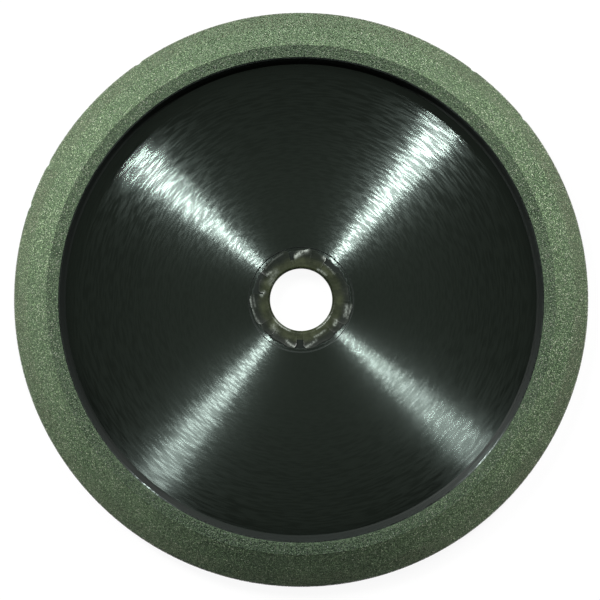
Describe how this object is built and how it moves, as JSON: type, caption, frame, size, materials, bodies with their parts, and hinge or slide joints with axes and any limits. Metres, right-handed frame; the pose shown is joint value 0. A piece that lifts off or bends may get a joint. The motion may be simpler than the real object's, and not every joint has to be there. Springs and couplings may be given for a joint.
{
  "type": "diamond profile wheel",
  "caption": "Turned steel grinding wheel with a deep flat recess, a raised rim with a flat land and a conical flank under a plated layer of diamond grit, and a plain chamfered bore.",
  "frame": {"origin": "centre of the bore on the flat back face, on which the wheel lies", "axes": "+Z along the bore out of the recessed front face, with the grit at the top; +Y is the top of the picture and +X its right"},
  "size_m": [0.2032, 0.2032, 0.02],
  "materials": {
    "turned_steel": "dark turned steel with a fine circular lay, glossy under a film of oil",
    "diamond_grit": null,
    "clear_film": "thin glossy olive film, see-through"
  },
  "bodies": {
    "root": {"wheel_body": "turned_steel", "diamond_coating": "diamond_grit", "bore_film": "clear_film"}
  },
  "joints": []
}
